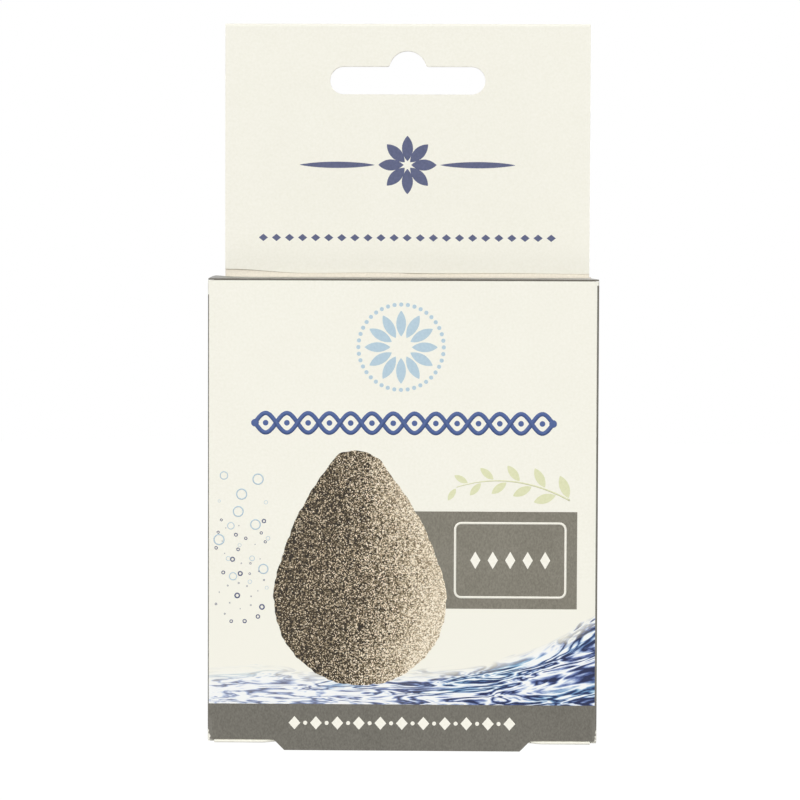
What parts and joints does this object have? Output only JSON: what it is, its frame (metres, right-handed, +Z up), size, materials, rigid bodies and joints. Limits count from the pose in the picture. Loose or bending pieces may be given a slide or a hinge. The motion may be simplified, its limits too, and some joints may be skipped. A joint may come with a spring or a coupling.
{
  "type": "boxed konjac sponge",
  "caption": "Folding carton with a hanger header and euro slot; the lid and base open on tuck and dust flaps, and the drop-shaped konjac sponge inside lifts out.",
  "frame": {"origin": "under the middle of the carton, at the lower edge of the front panel's tab", "axes": "+X to the right of the front panel, +Y from the front to the back, +Z up towards the hanger header"},
  "size_m": [0.076, 0.04, 0.1443],
  "materials": {
    "cream_board": "matte",
    "grey_board": "matte",
    "carton_glue": "satin",
    "konjac_foam": "matte"
  },
  "bodies": {
    "carton": {"front_panel": "cream_board", "left_side_panel": "grey_board", "right_side_panel": "grey_board", "back_panel": "cream_board", "hanger_panel": "cream_board", "header_facing": "cream_board", "header_glue": "carton_glue", "back_glue": "carton_glue"},
    "lid": {"lid_panel": "grey_board"},
    "lid_tuck": {"lid_tuck_flap": "grey_board"},
    "lid_dust_left": {"lid_dust_flap_left": "grey_board"},
    "lid_dust_right": {"lid_dust_flap_right": "grey_board"},
    "base": {"base_panel": "cream_board"},
    "base_tuck": {"base_tuck_flap": "cream_board"},
    "base_dust_left": {"base_dust_flap_left": "grey_board"},
    "base_dust_right": {"base_dust_flap_right": "grey_board"},
    "sponge": {"sponge": "konjac_foam"}
  },
  "joints": [
    {"name": "lid_hinge", "type": "hinge", "parent": "carton", "child": "lid", "pos_m": [0, 0.0185, 0.0921], "axis": [-1, 0, 0], "range_deg": [0, 88]},
    {"name": "lid_tuck_fold", "type": "hinge", "parent": "lid", "child": "lid_tuck", "pos_m": [0, -0.0191, 0.0921], "axis": [-1, 0, 0], "range_deg": [0, 17.7]},
    {"name": "lid_dust_left_fold", "type": "hinge", "parent": "carton", "child": "lid_dust_left", "pos_m": [-0.03775, 0, 0.0915], "axis": [0, -1, 0], "range_deg": [0, 88]},
    {"name": "lid_dust_right_fold", "type": "hinge", "parent": "carton", "child": "lid_dust_right", "pos_m": [0.03775, 0, 0.0915], "axis": [0, 1, 0], "range_deg": [0, 88]},
    {"name": "base_hinge", "type": "hinge", "parent": "carton", "child": "base", "pos_m": [0, 0.0185, 0.0018], "axis": [1, 0, 0], "range_deg": [0, 88]},
    {"name": "base_tuck_fold", "type": "hinge", "parent": "base", "child": "base_tuck", "pos_m": [0, -0.0191, 0.0018], "axis": [1, 0, 0], "range_deg": [0, 17.7]},
    {"name": "base_dust_left_fold", "type": "hinge", "parent": "carton", "child": "base_dust_left", "pos_m": [-0.03775, 0, 0.0024], "axis": [0, 1, 0], "range_deg": [0, 88]},
    {"name": "base_dust_right_fold", "type": "hinge", "parent": "carton", "child": "base_dust_right", "pos_m": [0.03775, 0, 0.0024], "axis": [0, -1, 0], "range_deg": [0, 88]},
    {"name": "sponge_lift", "type": "slide", "parent": "carton", "child": "sponge", "axis": [0, 0, 1], "range_m": [0, 0.0692]}
  ],
  "couplings": [
    {"joint": "lid_tuck_fold", "follows": "lid_hinge", "ratio": 0.2},
    {"joint": "lid_dust_left_fold", "follows": "lid_hinge", "ratio": 1},
    {"joint": "lid_dust_right_fold", "follows": "lid_hinge", "ratio": 1},
    {"joint": "sponge_lift", "follows": "lid_hinge", "m_per_rad": 0.045},
    {"joint": "base_tuck_fold", "follows": "base_hinge", "ratio": 0.2},
    {"joint": "base_dust_left_fold", "follows": "base_hinge", "ratio": 1},
    {"joint": "base_dust_right_fold", "follows": "base_hinge", "ratio": 1}
  ]
}
